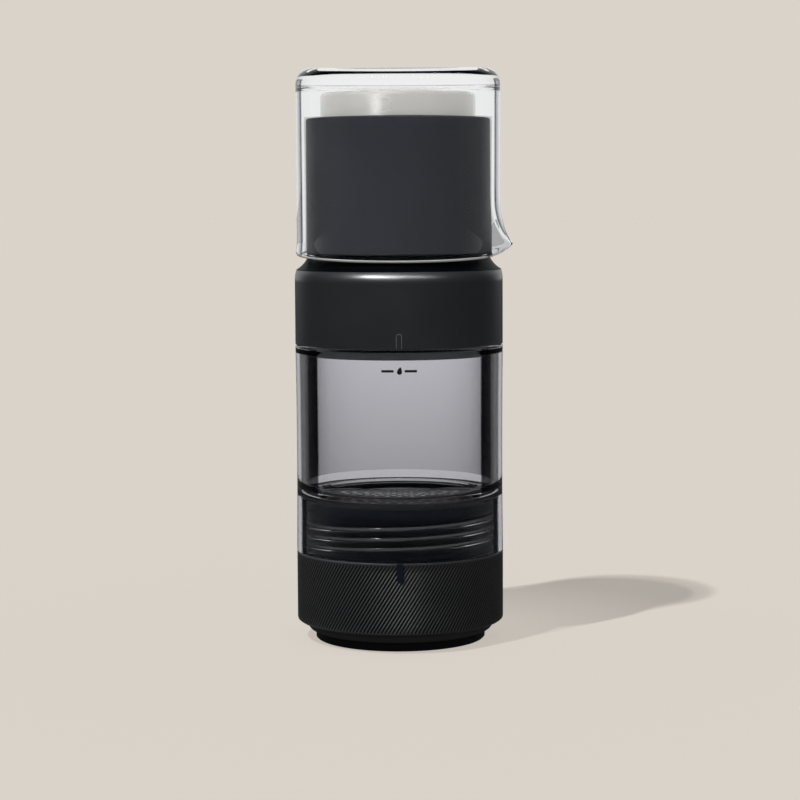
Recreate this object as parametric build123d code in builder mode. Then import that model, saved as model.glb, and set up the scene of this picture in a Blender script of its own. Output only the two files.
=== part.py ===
from build123d import *
from math import atan2, cos, radians, sin, tan
import os

# A hand-pumped cold brew coffee maker with its glass carafe stored upside down over the pump.
# Millimetres. Z is up along the body's axis, the origin is on that axis at the surface it stands on,
# the front with the alignment ribs faces -Y, and the carafe's pouring lip points to +X.

# ---- Driving dimensions ----------------------------------------------------------------------

body_diameter = 76.2  # across the grip ring, the water chamber and the pump skirt

# Clearances
fit_gap = 0.1  # radial gap of pieces pushed into each other
run_gap = 0.05  # radial gap of the piston rod in its guide
loose_gap = 0.3  # radial gap of pieces that drop in and lift out
seat_gap = 0.1  # gap between faces that part when the maker is opened

# Foot
foot_pad_inset = 3.0  # how far the pad stands in from the foot ring
foot_pad_width = 3.3
foot_pad_height = 3.3
foot_ring_inset = 3.8  # how far the foot ring stands in from the body
foot_ring_height = 3.0
foot_ring_round = 2.2

# Filter stack
support_height = 1.7
support_rim_width = 3.0
spoke_width = 1.8
spoke_count = 8
support_hub_radius = 5.0
support_middle_radius = 17.0
mesh_thickness = 0.4
filter_gasket_height = 0.6

# Coffee chamber
basket_depth = 40.6
basket_wall = 2.3
thread_depth = 2.4  # room for the screw threads between the neck and the clear socket
neck_wall = 2.0
core_width = 1.25  # slot between the neck's wall and the basket's
coffee_skirt_wall = 2.6
screen_rim = 0.75  # how far the screen's rim reaches past the basket's bore
screen_height = 2.0
flange_height = 3.1

# Shower screen
screen_plate = 1.2
screen_hole_radius = 0.95
screen_hole_pitch = 4.3
screen_hole_rings = 5
screen_rim_width = 1.6

# Grip ring
grip_bottom = 5.6
grip_height = 27.3
grip_wall = 3.1
grip_round = 2.6
grip_lip_height = 2.0

# Water chamber
chamber_gasket_height = 1.6
chamber_gasket_width = 5.6
chamber_wall = 3.3
chamber_waist = 0.25  # how much slimmer the chamber is at its waist
chamber_waist_height = 62.0
socket_wall = 1.5
floor_thickness = 1.6
floor_round = 4.2
chamber_shoulder = 108.7
chamber_edge_round = 0.8
chamber_shoulder_width = 2.8
chamber_neck_wall = 1.9
chamber_neck_height = 11.0
neck_lead_in = 1.6

# Alignment ribs on the front of skirt and chamber
rib_width = 2.1
rib_height = 0.3
skirt_rib_length = 5.4
upper_rib_length = 5.6
lower_rib_length = 5.3

# Pump base, skirt and collar
plug_depth = 4.0  # how far the plug reaches below the chamber's shoulder
plug_wall = 2.0
gasket_height = 2.8
gasket_width = 1.4
base_plate = 1.0
barrel_floor = 2.0
skirt_height = 27.0
skirt_round_height = 3.2
skirt_shell = 1.7
skirt_web = 2.0
collar_edge_inset = 0.55
collar_height = 5.2
collar_lip = 1.3
collar_wall = 2.0

# Pump
barrel_bore = 20.0
barrel_wall = 2.0
barrel_seal_height = 1.2
barrel_room = 2.4  # left over the barrel's cap while the handle is down
barrel_cap_flange = 2.2
barrel_cap_spigot = 4.0
barrel_depth = 8.0  # how far the barrel's socket reaches below the base plate
air_hole_radius = 1.2
air_hole_circle = 12.0
air_hole_count = 6
rod_radius = 4.0
rod_bore = 1.7
piston_height = 8.0
piston_clearance = 2.5  # under the piston at rest
piston_boss_radius = 7.0
piston_boss_height = 6.0
rod_engagement = 9.0
seal_height = 3.4
seal_width = 2.6
seal_lip_gap = 0.05
valve_hole_radius = 1.5
valve_hole_circle = 6.0
valve_hole_count = 6
valve_radius = 8.6
valve_height = 1.4
valve_stem_radius = 1.6

# Handle
handle_wall = 2.0
handle_edge_round = 0.7
handle_top_ring = 2.2
recess_rim_wall = 2.1
recess_depth = 3.9
recess_floor = 2.2
cap_flange_width = 0.7
cap_flange_height = 2.0
screw_shank_radius = 1.6
screw_length = 13.0
screw_head_radius = 3.4
screw_head_height = 1.2

# Tamper
tamper_height = 15.4
tamper_dome = 1.85
tamper_edge_round = 2.7
tamper_shell = 1.0
tamper_flange = 1.6

# Carafe, in its own axis from the rim up to the base, as it stands upside down
carafe_wall = 1.7
carafe_play = 1.85  # radial play of the carafe round the handle
carafe_clearance = 0.3  # gap left where the leaning carafe meets the handle
carafe_depth = 61.5
rim_overlap = 0.8  # how far the rim reaches below the handle with the base on the tamper
carafe_base = 6.3
carafe_corner = 6.0
carafe_inner_corner = 4.5
rim_flare = 0.6
rim_flare_height = 7.0
base_ring_width = 2.6
base_recess = 0.7
spout_reach = 8.3  # how far the lip would stand out of the wall at the rim, before its trim
spout_bend = 1.3  # how the lip gathers its slope: 1 is straight
spout_radius = 9.0
spout_top_radius = 6.3
spout_height = 13.0
spout_cut = 1.2  # how far inside the outer wall the slanted cut through the lip begins
spout_slant = 35.0  # angle of that cut in degrees

# ---- Radii and levels that follow ------------------------------------------------------------

body_radius = body_diameter / 2

foot_ring_radius = body_radius - foot_ring_inset
foot_pad_radius = foot_ring_radius - foot_pad_inset
outlet_radius = foot_pad_radius - foot_pad_width

socket_radius = body_radius - socket_wall
flange_radius = socket_radius - loose_gap
neck_radius = socket_radius - thread_depth
basket_radius = neck_radius - neck_wall - core_width - basket_wall
tamper_radius = basket_radius - loose_gap
coffee_skirt_radius = body_radius - grip_wall - fit_gap
coffee_skirt_bore = coffee_skirt_radius - coffee_skirt_wall
support_radius = coffee_skirt_bore - fit_gap

foot_ring_top = foot_pad_height + foot_ring_height
support_top = foot_ring_top + support_height
mesh_top = support_top + mesh_thickness
basket_bottom = mesh_top + filter_gasket_height
screen_seat = basket_bottom + basket_depth
screen_pocket_radius = basket_radius + screen_rim
screen_radius = screen_pocket_radius - fit_gap - run_gap
flange_top = screen_seat + screen_height + seat_gap

grip_top = grip_bottom + grip_height
chamber_bottom = grip_top + seat_gap
chamber_gasket_top = flange_top + chamber_gasket_height
floor_bottom = chamber_gasket_top + run_gap
floor_top = floor_bottom + floor_thickness
floor_opening = screen_radius + loose_gap
chamber_bore = body_radius - chamber_wall
chamber_neck_radius = body_radius - chamber_shoulder_width
chamber_neck_bore = chamber_neck_radius - chamber_neck_wall
chamber_neck_top = chamber_shoulder + chamber_neck_height

plug_radius = chamber_neck_bore - loose_gap
plug_bottom = chamber_shoulder - plug_depth
base_plate_bottom = chamber_neck_top + seat_gap
base_plate_top = base_plate_bottom + base_plate
barrel_radius = barrel_bore + barrel_wall
barrel_socket_radius = barrel_radius + fit_gap
barrel_floor_top = base_plate_bottom - barrel_depth
barrel_floor_bottom = barrel_floor_top - barrel_floor
barrel_bottom = barrel_floor_top + barrel_seal_height

skirt_bottom = chamber_shoulder + seat_gap + fit_gap
skirt_top = skirt_bottom + skirt_height
skirt_bore = body_radius - skirt_shell
collar_bottom = skirt_top + fit_gap
collar_top = collar_bottom + collar_height
collar_foot_radius = body_radius - collar_edge_inset

recess_radius = tamper_radius + loose_gap + fit_gap
recess_rim_radius = recess_radius + recess_rim_wall
cap_flange_radius = recess_rim_radius + cap_flange_width
handle_bore = cap_flange_radius + fit_gap
handle_radius = handle_bore + handle_wall
handle_height = carafe_depth + recess_depth - tamper_height - rim_overlap
handle_bottom = collar_top + loose_gap
handle_top = handle_bottom + handle_height
recess_bottom = handle_top - recess_depth
cap_floor_bottom = recess_bottom - recess_floor
barrel_cap_top = cap_floor_bottom - barrel_room
barrel_top = barrel_cap_top - barrel_cap_flange
piston_bottom = barrel_floor_top + piston_clearance
piston_top = piston_bottom + piston_height
piston_radius = barrel_bore - loose_gap - fit_gap
rod_bottom = piston_top + piston_boss_height - rod_engagement

tamper_bottom = recess_bottom + fit_gap
tamper_top = tamper_bottom + tamper_height
dome_radius = (tamper_radius**2 + tamper_dome**2) / (2 * tamper_dome)


# ---- Helpers ---------------------------------------------------------------------------------


def ring_profile(inner, outer, low, high, mode=Mode.ADD):
    """A rectangle from the inner to the outer radius and from the low to the high level."""
    with Locations(((inner + outer) / 2, (low + high) / 2)):
        Rectangle(outer - inner, high - low, mode=mode)


level_match = 0.01  # how near an edge lies to the level it is looked for at


def outer_edge(piece, level):
    """The widest circular edge of a piece at this level."""
    edges = piece.edges().filter_by_position(Axis.Z, level - level_match, level + level_match)
    return edges.sort_by(SortBy.RADIUS)[-1]


def front_plane(radius, level, up=1):
    """A plane on the front at this radius, whose second axis points up, or down where up is -1."""
    return Plane(origin=(0, -radius, level), x_dir=(up, 0, 0), z_dir=(0, -1, 0))


def rib_outline(width, length):
    """A rib's outline, square at the origin and rounded at its far end."""
    straight = length - width / 2
    with Locations((0, straight / 2)):
        Rectangle(width, straight)
    with Locations((0, straight)):
        Circle(width / 2)


# ---- Foot ------------------------------------------------------------------------------------

with BuildPart() as foot_pad:
    with BuildSketch(Plane.XZ):
        ring_profile(outlet_radius, foot_pad_radius, 0, foot_pad_height)
    revolve(axis=Axis.Z)
    chamfer(foot_pad.edges().group_by(Axis.Z)[0], 0.4)

# The foot ring curves in under the grip, so that it centres the maker in the carafe's mouth.
with BuildPart() as foot_ring:
    with BuildSketch(Plane.XZ):
        ring_profile(outlet_radius, foot_ring_radius, foot_pad_height, foot_ring_top)
    revolve(axis=Axis.Z)
    fillet(outer_edge(foot_ring, foot_pad_height), foot_ring_round)

# ---- Filter stack ----------------------------------------------------------------------------

# Grille under the mesh: a rim, a middle ring and a hub joined by spokes.
with BuildPart() as filter_support:
    with BuildSketch(Plane.XY.offset(foot_ring_top)):
        Circle(support_radius)
        Circle(support_radius - support_rim_width, mode=Mode.SUBTRACT)
        with BuildSketch(mode=Mode.ADD):
            Circle(support_middle_radius + spoke_width / 2)
            Circle(support_middle_radius - spoke_width / 2, mode=Mode.SUBTRACT)
        with PolarLocations(0, spoke_count):
            with Locations(((support_radius - support_rim_width / 2) / 2, 0)):
                Rectangle(support_radius - support_rim_width / 2, spoke_width)
        Circle(support_hub_radius)
    extrude(amount=support_height)

with BuildPart() as mesh_filter:
    with BuildSketch(Plane.XY.offset(support_top)):
        Circle(support_radius - fit_gap)
    extrude(amount=mesh_thickness)

with BuildPart() as filter_gasket:
    with BuildSketch(Plane.XZ):
        ring_profile(basket_radius, support_radius - fit_gap, mesh_top, basket_bottom)
    revolve(axis=Axis.Z)

# ---- Coffee chamber --------------------------------------------------------------------------

# Basket and threaded neck are one moulding, cored from below between its two walls.
core_top = flange_top - flange_height - neck_wall
neck_bottom = grip_top - grip_lip_height - seat_gap

with BuildPart() as coffee_chamber:
    with BuildSketch(Plane.XZ):
        with BuildLine():
            Polyline(
                (basket_radius, basket_bottom),
                (basket_radius, screen_seat),
                (screen_pocket_radius, screen_seat),
                (screen_pocket_radius, flange_top),
                (flange_radius, flange_top),
                (flange_radius, flange_top - flange_height),
                (neck_radius, flange_top - flange_height),
                (neck_radius, neck_bottom),
                (coffee_skirt_radius, neck_bottom),
                (coffee_skirt_radius, foot_ring_top),
                (coffee_skirt_bore, foot_ring_top),
                (coffee_skirt_bore, basket_bottom),
                (basket_radius, basket_bottom),
            )
        make_face()
        ring_profile(
            basket_radius + basket_wall,
            neck_radius - neck_wall,
            basket_bottom,
            core_top,
            mode=Mode.SUBTRACT,
        )
    revolve(axis=Axis.Z)

with BuildPart() as grip_ring:
    with BuildSketch(Plane.XZ):
        ring_profile(body_radius - grip_wall, body_radius, grip_bottom, grip_top)
        ring_profile(neck_radius + fit_gap, body_radius, grip_top - grip_lip_height, grip_top)
    revolve(axis=Axis.Z)
    fillet(outer_edge(grip_ring, grip_bottom), grip_round)

# ---- Shower screen ---------------------------------------------------------------------------

# A perforated plate with a raised rim. Each ring of holes has six more than the one inside it.
with BuildPart() as shower_screen:
    with BuildSketch(Plane.XY.offset(screen_seat)):
        Circle(screen_radius)
    extrude(amount=screen_height)
    with BuildSketch(Plane.XY.offset(screen_seat + screen_height)):
        Circle(screen_radius - screen_rim_width)
    extrude(amount=screen_plate - screen_height, mode=Mode.SUBTRACT)
    with BuildSketch(Plane.XY.offset(screen_seat)):
        Circle(screen_hole_radius)
        for ring in range(1, screen_hole_rings + 1):
            with PolarLocations(ring * screen_hole_pitch, 6 * ring):
                Circle(screen_hole_radius)
    extrude(amount=screen_plate, mode=Mode.SUBTRACT)

# ---- Water chamber ---------------------------------------------------------------------------

with BuildPart() as chamber_gasket:
    with BuildSketch(Plane.XZ):
        ring_profile(
            flange_radius - chamber_gasket_width, flange_radius, flange_top, chamber_gasket_top
        )
    revolve(axis=Axis.Z)

# One clear moulding: a socket that screws on the coffee chamber, an inner floor with a wide
# opening over the screen, a slightly waisted wall, and a narrower neck for the pump.
with BuildPart() as water_chamber:
    with BuildSketch(Plane.XZ):
        with BuildLine():
            outside = ThreePointArc(
                (body_radius, chamber_bottom),
                (body_radius - chamber_waist, chamber_waist_height),
                (body_radius, chamber_shoulder),
            )
            neck = Polyline(
                outside @ 1,
                (chamber_neck_radius, chamber_shoulder),
                (chamber_neck_radius, chamber_neck_top),
                (chamber_neck_bore, chamber_neck_top),
                (chamber_neck_bore, chamber_shoulder - neck_lead_in),
                (chamber_bore, chamber_shoulder - 2 * neck_lead_in),
                (chamber_bore, floor_top + floor_round),
            )
            corner = RadiusArc(neck @ 1, (chamber_bore - floor_round, floor_top), floor_round)
            Polyline(
                corner @ 1,
                (floor_opening, floor_top),
                (floor_opening, floor_bottom),
                (socket_radius, floor_bottom),
                (socket_radius, chamber_bottom),
                outside @ 0,
            )
        make_face()
    revolve(axis=Axis.Z)
    fillet(outer_edge(water_chamber, chamber_shoulder), chamber_edge_round)
    rib_root = body_radius - chamber_wall / 2
    with BuildSketch(front_plane(rib_root, chamber_bottom)):
        rib_outline(rib_width, lower_rib_length)
    with BuildSketch(front_plane(rib_root, chamber_shoulder - chamber_edge_round, up=-1)):
        rib_outline(rib_width, upper_rib_length)
    extrude(amount=body_radius + rib_height - rib_root)

# ---- Pump base, skirt and collar -------------------------------------------------------------

# The plug reaches down the chamber's neck, the plate sits on the neck's top, and a stepped cup
# in the middle holds the barrel.
gasket_seat_radius = plug_radius - gasket_width + loose_gap - fit_gap
plug_bore = gasket_seat_radius - plug_wall
barrel_cup_radius = barrel_socket_radius + plug_wall

with BuildPart() as pump_base:
    with BuildSketch(Plane.XZ):
        with BuildLine():
            Polyline(
                (0, barrel_floor_bottom),
                (barrel_cup_radius, barrel_floor_bottom),
                (barrel_cup_radius, base_plate_bottom),
                (plug_bore, base_plate_bottom),
                (plug_bore, plug_bottom),
                (gasket_seat_radius, plug_bottom),
                (gasket_seat_radius, plug_bottom + gasket_height),
                (plug_radius, plug_bottom + gasket_height),
                (plug_radius, base_plate_bottom),
                (skirt_bore - fit_gap, base_plate_bottom),
                (skirt_bore - fit_gap, base_plate_top),
                (barrel_socket_radius, base_plate_top),
                (barrel_socket_radius, barrel_floor_top),
                (0, barrel_floor_top),
                close=True,
            )
        make_face()
    revolve(axis=Axis.Z)
    with BuildSketch(Plane.XY.offset(barrel_floor_bottom)):
        Circle(valve_stem_radius + fit_gap)
        with PolarLocations(valve_hole_circle, valve_hole_count):
            Circle(valve_hole_radius)
    extrude(amount=barrel_floor, mode=Mode.SUBTRACT)

# Soft umbrella under the floor: its rim covers the air holes and a bulb holds the stem.
umbrella_top = barrel_floor_bottom - fit_gap / 2
bulb_bottom = barrel_floor_top + fit_gap / 2

with BuildPart() as check_valve:
    with BuildSketch(Plane.XZ):
        with BuildLine():
            under = Spline(
                (0, umbrella_top - valve_height),
                (valve_radius * 0.6, umbrella_top - valve_height * 0.8),
                (valve_radius, umbrella_top - valve_height * 0.3),
            )
            Polyline(
                under @ 1,
                (valve_radius, umbrella_top),
                (valve_stem_radius, umbrella_top),
                (valve_stem_radius, bulb_bottom),
                (valve_stem_radius * 1.4, bulb_bottom),
                (valve_stem_radius * 0.6, bulb_bottom + valve_height),
                (0, bulb_bottom + valve_height),
                under @ 0,
            )
        make_face()
    revolve(axis=Axis.Z)

with BuildPart() as lid_gasket:
    with BuildSketch(Plane.XZ):
        ring_profile(
            gasket_seat_radius + fit_gap,
            chamber_neck_bore - fit_gap,
            plug_bottom,
            plug_bottom + gasket_height - fit_gap,
        )
    revolve(axis=Axis.Z)

# The skirt's web rests on the base plate, and its band hides the chamber's neck.
with BuildPart() as pump_skirt:
    with BuildSketch(Plane.XZ):
        with BuildLine():
            band = Polyline(
                (skirt_bore, skirt_bottom),
                (body_radius, skirt_bottom),
                (body_radius, skirt_top - skirt_round_height),
            )
            crown = ThreePointArc(
                band @ 1,
                (body_radius - collar_edge_inset / 4, skirt_top - skirt_round_height / 2),
                (collar_foot_radius, skirt_top),
            )
            Polyline(
                crown @ 1,
                (skirt_bore - fit_gap, skirt_top),
                (skirt_bore - fit_gap, base_plate_top + skirt_web),
                (barrel_socket_radius, base_plate_top + skirt_web),
                (barrel_socket_radius, base_plate_top),
                (skirt_bore, base_plate_top),
                band @ 0,
            )
        make_face()
    revolve(axis=Axis.Z)
    skirt_rib_root = body_radius - skirt_shell / 2
    with BuildSketch(front_plane(skirt_rib_root, skirt_bottom)):
        rib_outline(rib_width, skirt_rib_length)
    extrude(amount=body_radius + rib_height - skirt_rib_root)

# The collar flares from the handle's radius to the skirt's, and its spigot stands in the skirt.
collar_spigot_radius = skirt_bore - 2 * fit_gap
flare_top = collar_top - collar_lip

with BuildPart() as pump_collar:
    with BuildSketch(Plane.XZ):
        with BuildLine():
            flare = RadiusArc(
                (collar_foot_radius, collar_bottom), (handle_radius, flare_top), collar_height * 2
            )
            Polyline(
                flare @ 1,
                (handle_radius, collar_top),
                (barrel_socket_radius, collar_top),
                (barrel_socket_radius, collar_top - collar_wall),
                (handle_radius - collar_wall, collar_top - collar_wall),
                (collar_spigot_radius - collar_wall, collar_bottom),
                (collar_spigot_radius - collar_wall, skirt_top - collar_wall),
                (collar_spigot_radius, skirt_top - collar_wall),
                (collar_spigot_radius, collar_bottom),
                flare @ 0,
            )
        make_face()
    revolve(axis=Axis.Z)

# ---- Pump ------------------------------------------------------------------------------------

with BuildPart() as barrel_seal:
    with BuildSketch(Plane.XZ):
        ring_profile(barrel_bore, barrel_radius, barrel_floor_top, barrel_bottom)
    revolve(axis=Axis.Z)

with BuildPart() as pump_barrel:
    with BuildSketch(Plane.XZ):
        ring_profile(barrel_bore, barrel_radius, barrel_bottom, barrel_top)
    revolve(axis=Axis.Z)

guide_radius = rod_radius + run_gap

with BuildPart() as barrel_cap:
    with BuildSketch(Plane.XZ):
        ring_profile(guide_radius, barrel_radius, barrel_top, barrel_cap_top)
        ring_profile(guide_radius, barrel_bore - fit_gap, barrel_top - barrel_cap_spigot, barrel_top)
    revolve(axis=Axis.Z)
    with BuildSketch(Plane.XY.offset(barrel_cap_top)):
        with PolarLocations(air_hole_circle, air_hole_count):
            Circle(air_hole_radius)
    extrude(amount=-barrel_cap_flange - barrel_cap_spigot, mode=Mode.SUBTRACT)

groove_radius = piston_radius - seal_width
groove_bottom = piston_bottom + (piston_height - seal_height) / 2
groove_top = groove_bottom + seal_height
boss_top = piston_top + piston_boss_height

with BuildPart() as piston:
    with BuildSketch(Plane.XZ):
        ring_profile(0, piston_radius, piston_bottom, piston_top)
        ring_profile(groove_radius, piston_radius, groove_bottom, groove_top, mode=Mode.SUBTRACT)
        ring_profile(0, piston_boss_radius, piston_top, boss_top)
        ring_profile(0, rod_radius + run_gap, rod_bottom, boss_top, mode=Mode.SUBTRACT)
    revolve(axis=Axis.Z)

# A lip seal: the groove in its underside opens its lips under pressure.
seal_inner = groove_radius + seal_lip_gap
seal_outer = barrel_bore - seal_lip_gap
seal_middle = (seal_inner + seal_outer) / 2
lip_low = groove_bottom + seal_lip_gap
lip_root = groove_bottom + seal_height / 2

with BuildPart() as piston_seal:
    with BuildSketch(Plane.XZ):
        with BuildLine():
            Polyline(
                (seal_inner, lip_low),
                (seal_middle - seal_lip_gap, lip_root),
                (seal_middle + seal_lip_gap, lip_root),
                (seal_outer, lip_low),
                (seal_outer, lip_root),
                (piston_radius - seal_lip_gap, groove_top - seal_lip_gap),
                (seal_inner, groove_top - seal_lip_gap),
                close=True,
            )
        make_face()
    revolve(axis=Axis.Z)

with BuildPart() as piston_rod:
    with BuildSketch(Plane.XZ):
        ring_profile(rod_bore, rod_radius, rod_bottom, cap_floor_bottom)
    revolve(axis=Axis.Z)

# ---- Handle ----------------------------------------------------------------------------------

ring_bottom = handle_top - handle_top_ring

with BuildPart() as pump_handle:
    with BuildSketch(Plane.XZ):
        ring_profile(handle_bore, handle_radius, handle_bottom, handle_top)
        ring_profile(recess_rim_radius + fit_gap, handle_radius, ring_bottom, handle_top)
    revolve(axis=Axis.Z)
    fillet(outer_edge(pump_handle, handle_bottom), handle_edge_round)
    fillet(outer_edge(pump_handle, handle_top), handle_edge_round)

head_bottom = recess_bottom - screw_head_height

# A cup let into the sleeve's top. Its flange bears up under the sleeve's top ring.
cap_flange_top = ring_bottom - run_gap

with BuildPart() as handle_cap:
    with BuildSketch(Plane.XZ):
        ring_profile(0, recess_rim_radius, cap_floor_bottom, recess_bottom)
        ring_profile(recess_radius, recess_rim_radius, cap_floor_bottom, handle_top - fit_gap)
        ring_profile(
            recess_radius, cap_flange_radius, cap_flange_top - cap_flange_height, cap_flange_top
        )
        ring_profile(
            0,
            screw_shank_radius + fit_gap,
            cap_floor_bottom,
            recess_bottom,
            mode=Mode.SUBTRACT,
        )
        ring_profile(
            0, screw_head_radius + fit_gap, head_bottom, recess_bottom, mode=Mode.SUBTRACT
        )
    revolve(axis=Axis.Z)

with BuildPart() as rod_screw:
    with BuildSketch(Plane.XZ):
        ring_profile(0, screw_head_radius, head_bottom, recess_bottom)
        ring_profile(0, screw_shank_radius, head_bottom - screw_length, head_bottom)
    revolve(axis=Axis.Z)
    with BuildSketch(Plane.XY.offset(recess_bottom)):
        RegularPolygon(screw_head_radius / 2, 6)
    extrude(amount=-screw_head_height / 2, mode=Mode.SUBTRACT)

# ---- Tamper ----------------------------------------------------------------------------------

cap_skirt_bottom = tamper_bottom + tamper_flange + run_gap
tamper_ceiling = tamper_top - tamper_dome - tamper_edge_round

with BuildPart() as tamper_cap:
    with BuildSketch(Plane.XZ):
        with BuildLine():
            dome = RadiusArc((0, tamper_top), (tamper_radius, tamper_top - tamper_dome), dome_radius)
            Polyline(
                dome @ 1,
                (tamper_radius, cap_skirt_bottom),
                (tamper_radius - tamper_shell, cap_skirt_bottom),
                (tamper_radius - tamper_shell, tamper_ceiling),
                (0, tamper_ceiling),
                dome @ 0,
            )
        make_face()
    revolve(axis=Axis.Z)
    fillet(outer_edge(tamper_cap, tamper_top - tamper_dome), tamper_edge_round)

core_radius = tamper_radius - tamper_shell - fit_gap
flange_level = tamper_bottom + tamper_flange

with BuildPart() as tamper_base:
    with BuildSketch(Plane.XZ):
        ring_profile(0, tamper_radius - fit_gap, tamper_bottom, flange_level)
        ring_profile(0, core_radius, flange_level, tamper_ceiling - fit_gap)
    revolve(axis=Axis.Z)
    chamfer(tamper_base.edges().group_by(Axis.Z)[0], tamper_flange / 4)

# ---- Carafe ----------------------------------------------------------------------------------

# Stored loose over the pump, the carafe leans towards the front until its wall meets the handle
# at both ends, and its base rests on the tamper's dome.
carafe_bore = handle_radius + carafe_play
carafe_radius = carafe_bore + carafe_wall
lean = atan2(2 * (carafe_play - carafe_clearance), handle_height)
pivot_level = handle_bottom + handle_height / 2
dome_centre = tamper_top - dome_radius
ceiling_from_pivot = dome_radius + loose_gap / 2 - (pivot_level - dome_centre) * cos(lean)
rim_from_pivot = ceiling_from_pivot - carafe_depth
carafe_up = (0, -sin(lean), cos(lean))
rim_centre = (0, -rim_from_pivot * sin(lean), pivot_level + rim_from_pivot * cos(lean))
carafe_height = carafe_depth + carafe_base
profile_plane = Plane(origin=rim_centre, x_dir=(1, 0, 0), z_dir=(0, -cos(lean), -sin(lean)))
carafe_axis = Axis(rim_centre, carafe_up)


def carafe_section(height):
    """A plane across the carafe's own axis, this far up from its rim."""
    origin = tuple(at + height * along for at, along in zip(rim_centre, carafe_up))
    return Plane(origin=origin, x_dir=(1, 0, 0), z_dir=carafe_up)


# The lip's sections are circles that grow and move out of the wall from its top to the rim.
lip_steps = (0, 0.35, 0.7, 1)


def lip_height(step):
    """How far up from the rim the lip's section at this step lies."""
    return spout_height * (1 - step)


def lip_centre(step):
    """Where the lip's section at this step stands out along the lip."""
    return carafe_radius + spout_reach * step**spout_bend - lip_radius(step)


def lip_radius(step):
    """The outer radius of the lip's section at this step."""
    return spout_top_radius + (spout_radius - spout_top_radius) * step


base_flat_radius = carafe_radius - carafe_corner
base_ring_radius = base_flat_radius - base_ring_width
cut_start = carafe_radius - spout_cut
cut_end = cut_start + spout_height / tan(radians(spout_slant))

with BuildPart() as carafe:
    with BuildSketch(profile_plane):
        with BuildLine():
            outer_wall = Spline(
                (carafe_radius + rim_flare, 0),
                (carafe_radius, rim_flare_height),
                tangents=((-rim_flare, rim_flare_height / 2), (0, 1)),
            )
            side = Line(outer_wall @ 1, (carafe_radius, carafe_height - carafe_corner))
            corner = RadiusArc(side @ 1, (base_flat_radius, carafe_height), -carafe_corner)
            Polyline(
                corner @ 1,
                (base_ring_radius, carafe_height),
                (base_ring_radius - base_recess, carafe_height - base_recess),
                (0, carafe_height - base_recess),
                (0, 0),
                outer_wall @ 0,
            )
        make_face()
    revolve(axis=carafe_axis)
    for step in lip_steps:
        with BuildSketch(carafe_section(lip_height(step))):
            with Locations((lip_centre(step), 0)):
                Circle(lip_radius(step))
    loft()
    with BuildSketch(profile_plane):
        with BuildLine():
            inner_wall = Spline(
                (carafe_bore + rim_flare, 0),
                (carafe_bore, rim_flare_height),
                tangents=((-rim_flare, rim_flare_height / 2), (0, 1)),
            )
            inner_side = Line(inner_wall @ 1, (carafe_bore, carafe_depth - carafe_inner_corner))
            inner_corner = RadiusArc(
                inner_side @ 1,
                (carafe_bore - carafe_inner_corner, carafe_depth),
                -carafe_inner_corner,
            )
            Polyline(inner_corner @ 1, (0, carafe_depth), (0, 0), inner_wall @ 0)
        make_face()
    revolve(axis=carafe_axis, mode=Mode.SUBTRACT)
    for step in lip_steps:
        with BuildSketch(carafe_section(lip_height(step))):
            with Locations((lip_centre(step), 0)):
                Circle(lip_radius(step) - carafe_wall)
    loft(mode=Mode.SUBTRACT)
    with BuildSketch(profile_plane):
        with BuildLine():
            Polyline(
                (cut_start, 0),
                (cut_end, spout_height),
                (cut_end, -carafe_wall),
                (cut_start, -carafe_wall),
                close=True,
            )
        make_face()
    extrude(amount=spout_radius * 2, both=True, mode=Mode.SUBTRACT)

# ---- Write -----------------------------------------------------------------------------------

pieces = {
    "foot_pad": foot_pad,
    "foot_ring": foot_ring,
    "filter_support": filter_support,
    "mesh_filter": mesh_filter,
    "filter_gasket": filter_gasket,
    "coffee_chamber": coffee_chamber,
    "grip_ring": grip_ring,
    "shower_screen": shower_screen,
    "chamber_gasket": chamber_gasket,
    "water_chamber": water_chamber,
    "pump_base": pump_base,
    "check_valve": check_valve,
    "lid_gasket": lid_gasket,
    "pump_skirt": pump_skirt,
    "pump_collar": pump_collar,
    "barrel_seal": barrel_seal,
    "pump_barrel": pump_barrel,
    "barrel_cap": barrel_cap,
    "piston": piston,
    "piston_seal": piston_seal,
    "piston_rod": piston_rod,
    "pump_handle": pump_handle,
    "handle_cap": handle_cap,
    "rod_screw": rod_screw,
    "tamper_cap": tamper_cap,
    "tamper_base": tamper_base,
    "carafe": carafe,
}
os.makedirs("parts", exist_ok=True)
for name, piece in pieces.items():
    piece.part.label = name
    export_step(piece.part, f"parts/{name}.step")
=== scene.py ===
# %% [markdown]
# # A cold brew coffee maker, dressed for its picture
#
# The solids of this maker were drawn in a CAD program and packed with their joints. This script
# loads them as a fixed frame and gives them their looks: procedural materials on every solid, and
# a few new pieces where the solid is too plain, such as the knurled grip, the screw threads, the
# tamper's head and the blown glass carafe. Everything is in metres, with Z up along the maker's
# axis. The front, with the little alignment ribs, faces -Y, and the carafe's pouring lip points
# to +X. Levels and radii are written in millimetres and multiplied by mm where they are used.

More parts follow.
